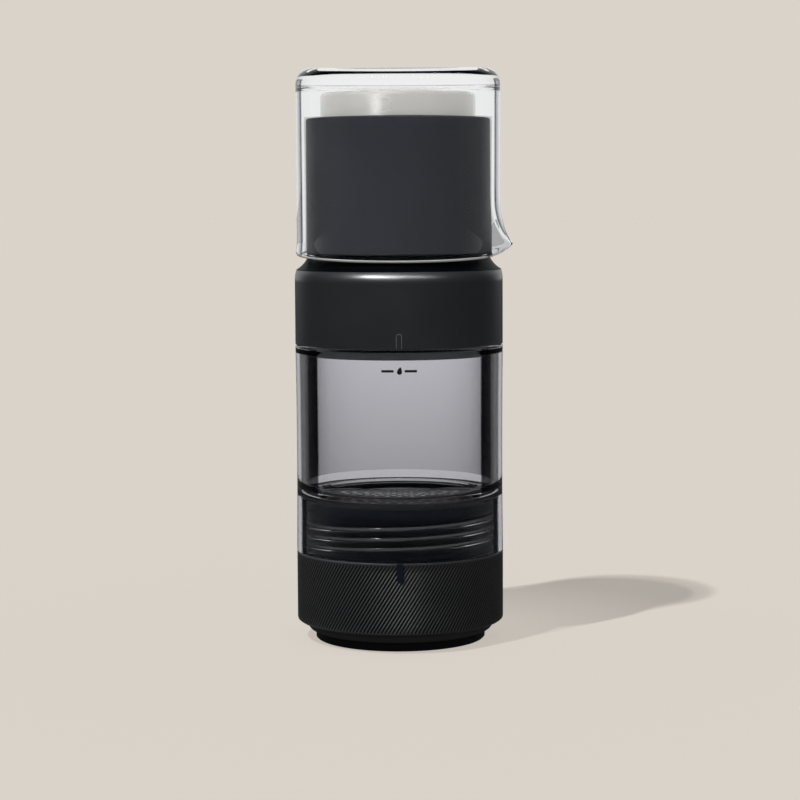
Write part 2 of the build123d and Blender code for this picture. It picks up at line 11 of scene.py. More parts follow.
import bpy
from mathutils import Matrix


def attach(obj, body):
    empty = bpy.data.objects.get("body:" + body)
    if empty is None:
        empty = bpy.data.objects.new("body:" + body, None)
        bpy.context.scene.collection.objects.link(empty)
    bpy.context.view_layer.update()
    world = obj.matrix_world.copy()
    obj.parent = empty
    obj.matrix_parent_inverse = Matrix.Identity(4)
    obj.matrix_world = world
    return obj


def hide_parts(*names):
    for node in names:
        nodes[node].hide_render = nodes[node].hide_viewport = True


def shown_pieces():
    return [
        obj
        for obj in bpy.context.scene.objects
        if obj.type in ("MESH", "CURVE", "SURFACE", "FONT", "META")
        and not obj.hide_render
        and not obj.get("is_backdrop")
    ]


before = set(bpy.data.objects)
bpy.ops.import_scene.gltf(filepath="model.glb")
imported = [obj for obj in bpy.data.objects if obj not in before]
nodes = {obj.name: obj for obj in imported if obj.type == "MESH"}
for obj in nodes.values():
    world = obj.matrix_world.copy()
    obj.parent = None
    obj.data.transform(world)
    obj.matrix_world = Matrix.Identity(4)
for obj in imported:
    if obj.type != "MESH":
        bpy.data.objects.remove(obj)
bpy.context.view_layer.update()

# %% Imports and units
import math
import bpy
import bmesh
from mathutils import Vector

mm = 0.001
print("nodes", len(nodes))

# %% [markdown]
# ## Helpers for modelling
#
# Almost every part of the maker is turned: its section is swung once round the axis. In Blender
# such a piece can be made as a potter pulls a pot. A circle is added, its edge loop is extruded
# upwards and resized at each station of the section, and the last loop is bridged to the first.
# An operator acts on whatever is selected, so each helper first deselects everything.

# %% Start a new piece clean
def deselect_all():
    if bpy.context.object and bpy.context.object.mode != "OBJECT":
        bpy.ops.object.mode_set(mode="OBJECT")
    bpy.ops.object.select_all(action="DESELECT")


def active(piece):
    deselect_all()
    piece.select_set(True)
    bpy.context.view_layer.objects.active = piece


# %% Select points by where they are
def pick(test):
    """In edit mode, selects the points of the active mesh whose place passes the test."""
    bpy.ops.mesh.select_mode(type="VERT")
    bpy.ops.mesh.select_all(action="DESELECT")
    mesh = bmesh.from_edit_mesh(bpy.context.object.data)
    for point in mesh.verts:
        if test(point.co):
            point.select = True
    mesh.select_flush(True)
    bmesh.update_edit_mesh(bpy.context.object.data)


# %% Finish a piece: doubles, normals, place and shading
def finish_piece(piece, name, crease=35, merge=1e-6):
    """Applies the place, merges doubles, turns the faces outwards, and smooths to the crease."""
    active(piece)
    bpy.ops.object.transform_apply(location=True, rotation=True, scale=True)
    bpy.ops.object.mode_set(mode="EDIT")
    bpy.ops.mesh.select_all(action="SELECT")
    bpy.ops.mesh.remove_doubles(threshold=merge)
    bpy.ops.mesh.normals_make_consistent(inside=False)
    bpy.ops.object.mode_set(mode="OBJECT")
    bpy.ops.object.shade_smooth_by_angle(angle=math.radians(crease))
    piece.name = piece.data.name = name
    print(name, len(piece.data.polygons), "faces")
    return piece


# %% Turn a section round the axis
def turned(stations, segments=160, ring=True):
    """Pulls a circle through (radius, level) stations. A ring is bridged shut, a cup is capped."""
    deselect_all()
    radius, level = stations[0]
    bpy.ops.mesh.primitive_circle_add(
        vertices=segments, radius=radius * mm, location=(0, 0, level * mm)
    )
    bpy.ops.object.mode_set(mode="EDIT")
    bpy.ops.mesh.select_all(action="SELECT")
    for next_radius, next_level in stations[1:]:
        bpy.ops.mesh.extrude_region_move(
            TRANSFORM_OT_translate={"value": (0, 0, (next_level - level) * mm)}
        )
        grow = next_radius / radius
        bpy.ops.transform.resize(value=(grow, grow, 1), center_override=(0, 0, next_level * mm))
        radius, level = next_radius, next_level
    bpy.ops.mesh.select_all(action="DESELECT")
    bpy.ops.mesh.select_non_manifold()
    if ring:
        bpy.ops.mesh.bridge_edge_loops()
    else:
        bpy.ops.mesh.fill_holes(sides=0)
    bpy.ops.object.mode_set(mode="OBJECT")
    return bpy.context.object


# %% [markdown]
# ## Helpers for materials
#
# A material is a tree of nodes. Each helper adds one node, or a short step made of a few, and
# gives back its output, so that a material below can be read as a list of steps.

# %% Add nodes and feed them
def add_node(tree, kind, **values):
    node = tree.nodes.new(kind)
    for key, value in values.items():
        setattr(node, key, value)
    return node


def feed(tree, entry, value):
    """Gives an input a plain value, or links it to another node's output."""
    if isinstance(value, bpy.types.NodeSocket):
        tree.links.new(value, entry)
    else:
        entry.default_value = value


# %% Steps with numbers
def sums(tree, operation, *values, **settings):
    """The result of a Math node that is fed with outputs or plain numbers."""
    node = add_node(tree, "ShaderNodeMath", operation=operation, **settings)
    for entry, value in zip(node.inputs, values):
        feed(tree, entry, value)
    return node.outputs[0]


def map_range(tree, value, from_low, from_high, to_low=0.0, to_high=1.0):
    """Stretches one range of a value to another, and stays within it."""
    node = add_node(tree, "ShaderNodeMapRange")
    for entry, given in zip(node.inputs, (value, from_low, from_high, to_low, to_high)):
        feed(tree, entry, given)
    return node.outputs["Result"]


def noise(tree, place, scale, detail):
    node = add_node(tree, "ShaderNodeTexNoise")
    tree.links.new(place.outputs["Object"], node.inputs["Vector"])
    feed(tree, node.inputs["Scale"], scale)
    node.inputs["Detail"].default_value = detail
    return node.outputs["Fac"]


# %% Steps with places and directions
def parts_of(tree, vector):
    """A vector's X, Y and Z, as the outputs of one node."""
    node = add_node(tree, "ShaderNodeSeparateXYZ")
    tree.links.new(vector, node.inputs["Vector"])
    return node.outputs


def length_of(tree, vector):
    node = add_node(tree, "ShaderNodeVectorMath", operation="LENGTH")
    tree.links.new(vector, node.inputs[0])
    return node.outputs["Value"]


def distance_from_axis(tree, place):
    """How far a point is from the maker's axis, from a Texture Coordinate node."""
    flat = add_node(tree, "ShaderNodeVectorMath", operation="MULTIPLY")
    flat.inputs[1].default_value = (1, 1, 0)
    tree.links.new(place.outputs["Object"], flat.inputs[0])
    return length_of(tree, flat.outputs[0])


def levelness(tree, place):
    """1 on a level face and 0 on an upright one, from a Texture Coordinate node."""
    return sums(tree, "ABSOLUTE", parts_of(tree, place.outputs["Normal"])["Z"])


def bumped(tree, height, strength, distance):
    """A Bump node that a height bends the normal with."""
    node = add_node(tree, "ShaderNodeBump")
    for name, value in (("Strength", strength), ("Distance", distance), ("Height", height)):
        feed(tree, node.inputs[name], value)
    return node


# %% Steps with colours and shaders
def scaled(tree, color, factor):
    """A colour times a number."""
    node = add_node(tree, "ShaderNodeVectorMath", operation="SCALE")
    feed(tree, node.inputs[0], color)
    feed(tree, node.inputs["Scale"], factor)
    return node.outputs["Vector"]


def tint_ramp(tree, factor, stops):
    """A colour ramp from (place, colour) stops."""
    node = add_node(tree, "ShaderNodeValToRGB")
    while len(node.color_ramp.elements) < len(stops):
        node.color_ramp.elements.new(0.5)
    for element, (place, color) in zip(node.color_ramp.elements, stops):
        element.position = place
        element.color = (*color, 1)
    tree.links.new(factor, node.inputs["Fac"])
    return node.outputs["Color"]


def mixed(tree, factor, first, second):
    """A colour between two, which may be outputs or plain colours."""
    node = add_node(tree, "ShaderNodeMix", data_type="RGBA")
    tree.links.new(factor, node.inputs["Factor"])
    for name, value in (("A", first), ("B", second)):
        feed(tree, node.inputs[name], (*value, 1) if isinstance(value, tuple) else value)
    return node.outputs["Result"]


def mixed_shader(tree, factor, first, second):
    node = add_node(tree, "ShaderNodeMixShader")
    for entry, value in zip(node.inputs, (factor, first, second)):
        tree.links.new(value, entry)
    return node.outputs[0]


# %% [markdown]
# ## The camera
#
# The picture is taken from about 80 cm with a long lens, a little above the middle of the maker,
# so that its circles show as thin ellipses and its sides run almost parallel. The horizon of the
# picture is well above its middle, which tells how far the camera is tipped down.

# %% Camera
camera_aside, camera_distance, camera_height = 0.0006, 0.800, 0.159
lens, film_width = 98.0, 36  # millimetres
pitch = math.radians(5.09)  # how far the camera looks down
roll = math.radians(0.30)

deselect_all()
bpy.ops.object.camera_add(
    location=(camera_aside, -camera_distance, camera_height),
    rotation=(math.pi / 2 - pitch, roll, 0),
)
camera = bpy.context.object
camera.name = "camera"
camera.data.sensor_width = film_width
camera.data.lens = lens
camera.data.clip_start = 0.01
camera.data.clip_end = 100
bpy.context.scene.camera = camera
print("camera at", tuple(camera.location))

# %% [markdown]
# ## Floor, backdrop and light
#
# The maker stands on a warm pale ground that runs into the backdrop with no line. Such an endless
# ground is easy to fake: the floor and the world both show the backdrop's colour to the camera,
# and the floor keeps the shadow. Light Path tells the shaders which kind of ray asks. What comes
# through clear walls is white, and glossy surfaces mirror a dark studio with a white card behind
# the maker, as glassware is photographed. Matt surfaces get plain neutral light. A sun from the
# front left throws the shadow, and a second one beside it falls only on the floor, so that the
# depth of the shadow can be set without changing the light on the maker.

# %% The backdrop's colour
def from_screen(red, green, blue):
    """A colour as a screen shows it, 0 to 255, as the linear values that shaders use."""
    linear = []
    for channel in (red, green, blue):
        c = channel / 255
        linear.append(c / 12.92 if c <= 0.04045 else ((c + 0.055) / 1.055) ** 2.4)
    return tuple(linear)


backdrop = from_screen(218, 211, 202)
print("backdrop", backdrop)

# %% World
ambient_level = 0.58  # neutral light that falls on everything
through_level = 0.86  # neutral white behind clear walls
card_level = 0.80  # the card that glossy surfaces mirror
dark_level = 0.06  # the rest of the studio that they mirror
card_edge, card_full = 0.6, 0.85  # how far back a ray points where the card begins and is full

world = bpy.data.worlds.new("studio")
bpy.context.scene.world = world
world.use_nodes = True
tree = world.node_tree
tree.nodes.clear()
path = add_node(tree, "ShaderNodeLightPath")
backwards = parts_of(tree, add_node(tree, "ShaderNodeTexCoord").outputs["Generated"])["Y"]
mirrored = map_range(tree, backwards, card_edge, card_full, dark_level, card_level)
shader = None
for color, strength, ray in (
    ((ambient_level,) * 3, 1.0, None),
    ((1, 1, 1), mirrored, "Is Glossy Ray"),
    ((through_level,) * 3, 1.0, "Is Transmission Ray"),
    (backdrop, 1.0, "Is Camera Ray"),
    ((ambient_level,) * 3, 1.0, "Diffuse Depth"),
):
    light = add_node(tree, "ShaderNodeBackground")
    light.inputs["Color"].default_value = (*color, 1)
    feed(tree, light.inputs["Strength"], strength)
    if ray:
        shader = mixed_shader(tree, path.outputs[ray], shader, light.outputs[0])
    else:
        shader = light.outputs[0]
out = add_node(tree, "ShaderNodeOutputWorld")
tree.links.new(shader, out.inputs["Surface"])
print("world", ambient_level, through_level, card_level, dark_level)

# %% The sun and the floor's own sun
sun_share = 0.42  # of the light on level ground, beside the world's


def aim_at(lamp, toward):
    lamp.rotation_mode = "QUATERNION"
    lamp.rotation_quaternion = toward.to_track_quat("-Z", "Y")


def falls_on(lamp):
    """The collection of pieces that a lamp falls on."""
    lit = bpy.data.collections.new(lamp.name + "_falls_on")
    lamp.light_linking.receiver_collection = lit
    return lit


toward = Vector((0.0915, 0.0925, -0.200)).normalized()
deselect_all()
suns = []
for name in ("sun", "floor_sun"):
    bpy.ops.object.light_add(type="SUN", location=(-0.42, -0.47, 1.0))
    suns.append(bpy.context.object)
    suns[-1].name = name
    suns[-1].data.angle = math.radians(1.0)
    suns[-1].data.energy = math.pi * sun_share / -toward.z
    aim_at(suns[-1], toward)
sun_lit, floor_lit = falls_on(suns[0]), falls_on(suns[1])
print("sun", suns[0].data.energy)

# %% [markdown]
# ## Lamps for the highlights
#
# Dark plastic gets its shape from highlights. An upright strip on the left draws a streak on the
# metal head and the thread, a long lamp overhead lights the edges, a broad one at the side rakes
# over the knurl, and a small one above gives the skirt's crown its sheen. Light linking lets each
# lamp fall on its own pieces only, so that one can be set without changing another.

# %% Long lamps
def long_lamp(name, location, width, height, energy, target_level):
    """A rectangular lamp aimed at the maker's axis, and the collection that it falls on."""
    bpy.ops.object.light_add(type="AREA", location=location)
    lamp = bpy.context.object
    lamp.name = name
    lamp.data.shape = "RECTANGLE"
    lamp.data.size, lamp.data.size_y = width, height
    lamp.data.energy = energy
    lamp.visible_transmission = False
    aim_at(lamp, (Vector((0, 0, target_level)) - lamp.location).normalized())
    return falls_on(lamp)


strip_lit = long_lamp("strip", (-0.60, -0.97, 0.22), 0.05, 0.9, 2.4, 0.10)
overhead_lit = long_lamp("overhead", (-0.05, -0.50, 0.95), 1.1, 0.08, 6.0, 0.10)
side_lit = long_lamp("side", (-0.85, -0.20, 0.60), 0.8, 0.5, 4.6, 0.02)
crown_lit = long_lamp("crown", (-0.24, -0.62, 1.00), 0.45, 0.14, 6.0, 0.13)
print("lamps", [light.name for light in bpy.data.lights])

# %% [markdown]
# ## The floor
#
# The floor is one big plane. Part of its brightness is paint that takes light and shadow, and the
# rest is a glow that only the camera sees, so that it has the backdrop's colour wherever no shadow
# falls. Near the maker the paint's share is smaller, so that the shadow there is painted weaker.

# %% Floor plane
deselect_all()
bpy.ops.mesh.primitive_plane_add(size=60, location=(0, 0, 0))
floor = bpy.context.object
floor.name = floor.data.name = "floor"
floor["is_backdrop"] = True
floor_lit.objects.link(floor)
sun_lit.objects.link(floor)
print("floor", floor.dimensions.x)

# %% Floor paint: less of it near the maker
floor_paint = bpy.data.materials.new("floor_paint")
floor_paint.use_nodes = True
tree = floor_paint.node_tree
floor_shader = tree.nodes["Principled BSDF"]
painted = 0.3  # share of the backdrop's colour that is paint, the rest is light
shadow_depth = 0.395  # share of the floor's light that the shadow takes away far from the maker
near_depth = 0.46  # how much of this it takes away beside the maker, where the shadow is painted weaker
near, far = 0.045, 0.130  # distances from the axis between which the shadow grows to its depth
suns[1].data.energy *= (shadow_depth - painted * sun_share) / (painted * sun_share)
floor_shader.inputs["Roughness"].default_value = 1.0
floor_shader.inputs["Specular IOR Level"].default_value = 0.0
# painted light: the paint's share grows with the distance from the axis, so the shadow is weaker
# near the maker
away = length_of(tree, add_node(tree, "ShaderNodeTexCoord").outputs["Object"])
share = map_range(tree, away, near, far, near_depth, 1.0)
paint = scaled(tree, tuple(c * painted for c in backdrop), share)
tree.links.new(paint, floor_shader.inputs["Base Color"])
print("floor sun", suns[1].data.energy)

# %% Floor glow for the camera
path = add_node(tree, "ShaderNodeLightPath")
unlit = sums(tree, "MULTIPLY_ADD", share, -(shadow_depth + painted * ambient_level), 1.0)
shown = add_node(tree, "ShaderNodeEmission")
shown.inputs["Color"].default_value = (*backdrop, 1)
glow = sums(tree, "MULTIPLY", unlit, path.outputs["Is Camera Ray"])
tree.links.new(glow, shown.inputs["Strength"])
both = add_node(tree, "ShaderNodeAddShader")
tree.links.new(floor_shader.outputs[0], both.inputs[0])
tree.links.new(shown.outputs[0], both.inputs[1])
print("shadow depth", shadow_depth)

# %% What mirrors and clear walls see of the floor
shader = both.outputs[0]
for level, ray in ((dark_level, "Is Glossy Ray"), (through_level, "Is Transmission Ray")):
    plain = add_node(tree, "ShaderNodeEmission")
    plain.inputs["Color"].default_value = (level, level, level, 1)
    shader = mixed_shader(tree, path.outputs[ray], shader, plain.outputs[0])
tree.links.new(shader, tree.nodes["Material Output"].inputs["Surface"])
floor.data.materials.append(floor_paint)
print("floor paint", floor_paint.name)

# %% [markdown]
# ## Shared effects
#
# Moulded plastic, rubber and metal all have a fine unevenness. It is made once as a node group
# with named inputs and outputs, and each material places it with its own values. The group gives
# only numbers, colours and normals; the shader itself stays in the material.

# %% Fine grain: a colour shift, a roughness shift and a normal
grain = bpy.data.node_groups.new("fine_grain", "ShaderNodeTree")
for name, value in (
    ("Color", (0.5, 0.5, 0.5, 1)), ("Grain Size", 4000.0), ("Color Change", 0.1),
    ("Roughness", 0.5), ("Roughness Change", 0.1), ("Bump", 0.1),
):
    kind = "NodeSocketColor" if name == "Color" else "NodeSocketFloat"
    grain.interface.new_socket(name=name, in_out="INPUT", socket_type=kind).default_value = value
for name, kind in (("Color", "Color"), ("Roughness", "Float"), ("Normal", "Vector")):
    grain.interface.new_socket(name=name, in_out="OUTPUT", socket_type="NodeSocket" + kind)
given = add_node(grain, "NodeGroupInput").outputs
result = add_node(grain, "NodeGroupOutput").inputs
place = add_node(grain, "ShaderNodeTexCoord")
shift = map_range(grain, noise(grain, place, 60, 4), 0.3, 0.7, -0.5, 0.5)
amount = sums(grain, "MULTIPLY_ADD", shift, given["Color Change"], 1.0)
grain.links.new(scaled(grain, given["Color"], amount), result["Color"])
rough = sums(grain, "MULTIPLY_ADD", shift, given["Roughness Change"], given["Roughness"])
grain.links.new(rough, result["Roughness"])
grains = bumped(grain, noise(grain, place, given["Grain Size"], 3), given["Bump"], 0.00005)
grain.links.new(grains.outputs["Normal"], result["Normal"])
print("group", grain.name)


# %% A solid finish from the fine grain
def solid_finish(name, color, roughness, grain_size=4000, change=0.08, bump=0.15, **sockets):
    """A Principled material whose colour, roughness and normal pass through the fine grain."""
    finish = bpy.data.materials.new(name)
    finish.use_nodes = True
    tree = finish.node_tree
    shader = tree.nodes["Principled BSDF"]
    group = add_node(tree, "ShaderNodeGroup", node_tree=grain, name="fine_grain")
    group.inputs["Color"].default_value = (*color, 1)
    group.inputs["Grain Size"].default_value = grain_size
    group.inputs["Color Change"].default_value = change
    group.inputs["Roughness"].default_value = roughness
    group.inputs["Roughness Change"].default_value = 0.08
    group.inputs["Bump"].default_value = bump
    tree.links.new(group.outputs["Color"], shader.inputs["Base Color"])
    tree.links.new(group.outputs["Roughness"], shader.inputs["Roughness"])
    tree.links.new(group.outputs["Normal"], shader.inputs["Normal"])
    for socket_name, value in sockets.items():
        shader.inputs[socket_name.replace("_", " ")].default_value = value
    return finish


# %% [markdown]
# ## Plastic, rubber and metal finishes
#
# The handle is a charcoal moulding with a very fine matte texture. The skirt, collar and grip
# are nearly black and a little glossier. The collar's black is darker still, painted shade for
# where the carafe shades it, and the grip's crests carry a painted highlight. The tamper's head
# is light satin metal with a thin clear coat, and the foot is soft rubber.

# %% Solid finishes
charcoal = solid_finish(
    "charcoal_matte", from_screen(36, 37, 42), 0.5, Specular_IOR_Level=0.15, bump=0.03
)
black_satin = solid_finish(
    "black_satin", from_screen(22, 24, 28), 0.34, Specular_IOR_Level=1.0, grain_size=2600, bump=0.1
)
black_deep = solid_finish(
    "black_deep", from_screen(20, 24, 31), 0.40, Specular_IOR_Level=0.04, bump=0.0
)
# black plastic with painted shade: darker than the other black, for the shade under the carafe
collar_black_painted_shade = solid_finish(
    "collar_black_painted_shade", from_screen(3, 4, 6), 0.40, Specular_IOR_Level=0.02, bump=0.0
)
black_thread = solid_finish(
    "black_thread", from_screen(9, 12, 17), 0.16, Specular_IOR_Level=1.0, bump=0.0
)
foot_plastic = solid_finish(
    "foot_plastic", from_screen(46, 47, 51), 0.5, Specular_IOR_Level=0.3, bump=0.1
)
rubber_black = solid_finish(
    "rubber_black", from_screen(16, 16, 18), 0.7, Specular_IOR_Level=0.3, grain_size=1500
)
rubber_grey = solid_finish(
    "rubber_grey", from_screen(96, 97, 100), 0.6, Specular_IOR_Level=0.3, grain_size=1500
)
silicone = solid_finish(
    "milky_silicone", from_screen(214, 212, 206), 0.45,
    Subsurface_Weight=0.2, Subsurface_Scale=0.002,
)
barrel_plastic = solid_finish(
    "barrel_plastic", from_screen(205, 206, 206), 0.35,
    Subsurface_Weight=0.15, Subsurface_Scale=0.003,
)
satin_metal = solid_finish(
    "satin_metal", from_screen(188, 186, 182), 0.30, grain_size=5200, change=0.02, bump=0.0,
    Metallic=0.5, Coat_Weight=1.0, Coat_Roughness=0.16,
)
plain_steel = solid_finish(
    "plain_steel", from_screen(178, 178, 180), 0.3, grain_size=3000, change=0.05, Metallic=1.0
)
rod_metal = solid_finish(
    "rod_metal", from_screen(190, 190, 194), 0.32, grain_size=3000, change=0.05, Metallic=1.0
)
print("finishes", len(bpy.data.materials))

# %% Grip finish: a painted highlight on the ribs' crests and painted shade in their grooves
groove_radius, crest_radius = 37.88, 38.08
black_grip = solid_finish(
    "black_grip", from_screen(14, 15, 16), 0.30, Specular_IOR_Level=0.8, bump=0.05
)
tree = black_grip.node_tree
place = add_node(tree, "ShaderNodeTexCoord")
away = distance_from_axis(tree, place)
crest_lit_share = map_range(tree, away, groove_radius * mm, crest_radius * mm)
# painted shade in the grooves and a painted highlight on the crests, by the distance from the axis
tone = tint_ramp(tree, crest_lit_share, [(0.0, from_screen(3, 4, 5)), (1.0, from_screen(54, 55, 57))])
tree.links.new(tone, tree.nodes["fine_grain"].inputs["Color"])
print("grip finish made")

# %% [markdown]
# ## Clear glass and smoky plastic
#
# The carafe is clear glass and the water chamber is clear plastic with a grey tint. Seen nearly
# edge on, an upright clear wall shows bands: light ones where light is led inside the wall, and
# dark ones where it comes from the dark sides of the studio. These bands are painted reflections
# and painted shade in the base colour: a Layer Weight node gives the angle, and one colour ramp
# for the outer side of the wall and one for the inner side turn it into the bands where a ray
# comes in. Inner and outer sides are told apart by how far they stand from the axis. A level face,
# such as the thick base, keeps the plain tint. Lamps are let through the walls with a transparent
# shader for shadow rays, so that what stands inside is lit as well. The carafe's rim is white and
# not clear, a painted highlight along it.

# %% A clear material
corner_tint = (0.14, 0.14, 0.15)  # painted shade: the dark band where the wall meets the clear floor


def clear_finish(
    name, tint, inner_radius, inner, outer, lower, below, ior, shadow,
    rise=0.0, level=0.0, corner=None,
):
    """Clear material whose upright walls get painted reflections and painted shade by angle: the
    inner side up to a radius, the outer side where rays enter, and its lower part below a level.
    The inner side is painted lighter with height, by rise for each metre, and the corner is a
    painted dark band between two levels."""
    finish = bpy.data.materials.new(name)
    finish.use_nodes = True
    tree = finish.node_tree
    shader = tree.nodes["Principled BSDF"]
    shader.inputs["Transmission Weight"].default_value = 1.0
    shader.inputs["Roughness"].default_value = 0.0
    shader.inputs["IOR"].default_value = ior
    shader.inputs["Specular Tint"].default_value = (0.2, 0.2, 0.2, 1)
    weight = add_node(tree, "ShaderNodeLayerWeight")
    weight.inputs["Blend"].default_value = 0.5
    place = add_node(tree, "ShaderNodeTexCoord")
    height = parts_of(tree, place.outputs["Object"])["Z"]
    inner_tint, outer_tint, lower_tint = (
        tint_ramp(tree, weight.outputs["Facing"], stops) for stops in (inner, outer, lower)
    )
    # painted light: the inner side is lighter higher up
    lighter = sums(tree, "MULTIPLY_ADD", height, rise, 1 - rise * level * mm)
    is_lower = sums(tree, "LESS_THAN", height, below * mm)
    entered = mixed(tree, is_lower, outer_tint, lower_tint)
    if corner:
        is_above = sums(tree, "GREATER_THAN", height, corner[0] * mm)
        is_under = sums(tree, "LESS_THAN", height, corner[1] * mm)
        in_corner = sums(tree, "MULTIPLY", is_above, is_under)
        entered = mixed(tree, in_corner, entered, corner_tint)
    facing = add_node(tree, "ShaderNodeNewGeometry")
    outside = mixed(tree, facing.outputs["Backfacing"], entered, tint)
    is_outside = sums(tree, "GREATER_THAN", distance_from_axis(tree, place), inner_radius * mm)
    side = mixed(tree, is_outside, scaled(tree, inner_tint, lighter), outside)
    is_level = sums(tree, "GREATER_THAN", levelness(tree, place), 0.3)
    tree.links.new(mixed(tree, is_level, side, tint), shader.inputs["Base Color"])
    path = add_node(tree, "ShaderNodeLightPath")
    through = add_node(tree, "ShaderNodeBsdfTransparent")
    through.inputs["Color"].default_value = (shadow, shadow, shadow, 1)
    blend = mixed_shader(
        tree, path.outputs["Is Shadow Ray"], shader.outputs["BSDF"], through.outputs["BSDF"]
    )
    tree.links.new(blend, tree.nodes["Material Output"].inputs["Surface"])
    return finish


# %% Glass and plastic
light, dark = (0.985, 0.99, 0.99), (0.01, 0.011, 0.014)
plain = [(0.0, light), (1.0, light)]
# painted reflections in the light stops and painted shade in the dark ones
wall_bands = [
    (0.655, light), (0.68, dark), (0.705, dark), (0.725, (0.15, 0.155, 0.16)),
    (0.765, (0.28, 0.28, 0.29)), (0.82, (0.55, 0.55, 0.56)), (0.87, light),
]
# painted shade: a dimmer band on the lower part of the carafe's wall
dimmed = (0.46, 0.46, 0.47)
clear_glass = clear_finish(
    "clear_glass", light, 36.5, plain, wall_bands,
    [(0.22, light), (0.40, dimmed), (0.59, dimmed), (0.62, light)] + wall_bands, below=190.7,
    ior=1.2, shadow=0.78,
)
# tint is the plastic's own grey; the dark stops below are painted shade and the light ones painted
# reflections
tint, black, shade = (0.80, 0.80, 0.82), (0.0005, 0.0006, 0.0012), (0.012, 0.012, 0.016)
smoky_clear = clear_finish(
    "smoky_clear_plastic", tint, 36.0,
    [  # the inner side
        (0.0, (0.57, 0.565, 0.59)), (0.10, (0.55, 0.545, 0.57)), (0.20, (0.50, 0.495, 0.52)),
        (0.32, (0.43, 0.425, 0.445)), (0.43, (0.27, 0.27, 0.28)), (0.485, (0.17, 0.17, 0.18)),
        (0.505, black), (0.735, black), (0.76, (0.5, 0.5, 0.52)),
    ],
    [  # the outer side, where rays enter
        (0.385, tint), (0.405, shade), (0.535, shade), (0.56, (0.024, 0.024, 0.025)),
        (0.71, (0.025, 0.025, 0.027)), (0.74, (0.25, 0.25, 0.26)), (0.77, (0.46, 0.46, 0.48)),
        (0.95, (0.6, 0.6, 0.62)),
    ],
    [  # its lower part, round the socket
        (0.30, tint), (0.45, (0.25, 0.25, 0.26)), (0.57, (0.12, 0.12, 0.13)),
        (0.60, black), (0.69, black), (0.715, (0.22, 0.22, 0.23)),
        (0.76, (0.40, 0.40, 0.42)), (0.95, (0.6, 0.6, 0.62)),
    ],
    below=53.0, ior=1.20, shadow=0.80, rise=9.0, level=84, corner=(53.4, 55.9),
)
even = [(0.0, tint), (1.0, tint)]
plain_clear = clear_finish(
    "plain_clear", tint, 36.0, even, even, even, below=0.0, ior=1.20, shadow=0.80
)
# painted highlight: a white material that stands in for the light along the rounded rim
painted_rim_highlight = solid_finish("painted_rim_highlight", from_screen(196, 198, 199), 0.25, change=0.0, bump=0.0)
print("clear finishes made")

# %% [markdown]
# ## The grip's knurl
#
# The coffee chamber is turned by hand with wet fingers, so its grip has a knurl: some 178 fine
# ribs that climb to the right. A bump map would leave the outline smooth, so the ribs are
# modelled. A ring with four points a rib is pulled upwards. Every fourth point is drawn in to make
# the grooves and its neighbours a little for their shoulders, and each further step upwards also
# turns the ring a little. A plain border is left at the top and at the rounded foot.

# %% Knurled grip ring
rib_count = 178
knurl_low, knurl_high = 7.4, 32.3
grip_outer, grip_inner, grip_low, grip_top = 38.1, 35.0, 6.4, 32.9
groove_depth, shoulder_depth = 0.5, 0.12
groove_share = (grip_outer - groove_depth) / grip_outer
shoulder_share = (grip_outer - shoulder_depth) / grip_outer
climb = math.radians(58.5)
knurl_steps = 10
step_turn = (knurl_high - knurl_low) / math.tan(climb) / grip_outer / knurl_steps

foot_round = [(35.4, 6.4), (36.4, 6.5), (37.1, 6.75), (37.7, 7.15)]
deselect_all()
bpy.ops.mesh.primitive_circle_add(
    vertices=4 * rib_count, radius=grip_inner * mm, location=(0, 0, grip_low * mm)
)
grip = bpy.context.object
bpy.ops.object.transform_apply(location=True)
bpy.ops.object.mode_set(mode="EDIT")
bpy.ops.mesh.select_all(action="SELECT")
at_radius, at_level = grip_inner, grip_low


def pull(radius, level):
    """Extrudes the selected loop to a new radius and level."""
    global at_radius, at_level
    bpy.ops.mesh.extrude_region_move(
        TRANSFORM_OT_translate={"value": (0, 0, (level - at_level) * mm)}
    )
    grow = radius / at_radius
    bpy.ops.transform.resize(value=(grow, grow, 1), center_override=(0, 0, level * mm))
    at_radius, at_level = radius, level


for radius, level in foot_round:
    pull(radius, level)
print("grip foot at", at_radius, at_level)

# %% Ribs and grooves
def loop_now(point):
    return abs(point.z - at_level * mm) < 1e-6 and point.xy.length > 0.0365


def rib_phase(point, turn):
    """0 on a rib's crest and 0.5 in the groove beside it."""
    return ((math.atan2(point.y, point.x) - turn) / (2 * math.pi) * rib_count) % 1


def draw_in(turn, outwards=False):
    """Draws the grooves and their shoulders of this loop in, or back out again."""
    for near, share in ((0.1, groove_share), (0.35, shoulder_share)):
        pick(lambda p: loop_now(p) and near - 0.25 < abs(rib_phase(p, turn) - 0.5) < near)
        size = 1 / share if outwards else share
        bpy.ops.transform.resize(value=(size, size, 1), center_override=(0, 0, at_level * mm))


run_out = 0.5  # height over which the ribs fade in and out
pull(grip_outer - shoulder_depth, knurl_low)
pull(grip_outer, knurl_low + run_out)
draw_in(0)
turned_by = 0.0
for step in range(knurl_steps):
    pick(loop_now)
    pull(grip_outer, at_level + (knurl_high - knurl_low - 2 * run_out) / knurl_steps)
    bpy.ops.transform.rotate(
        value=-step_turn, orient_axis="Z", center_override=(0, 0, at_level * mm)
    )
    turned_by += step_turn
pick(loop_now)
pull(grip_outer, knurl_high)
highest = max(p.co.xy.length for p in bmesh.from_edit_mesh(grip.data).verts)
print("knurl crest", highest, "turned", math.degrees(turned_by))

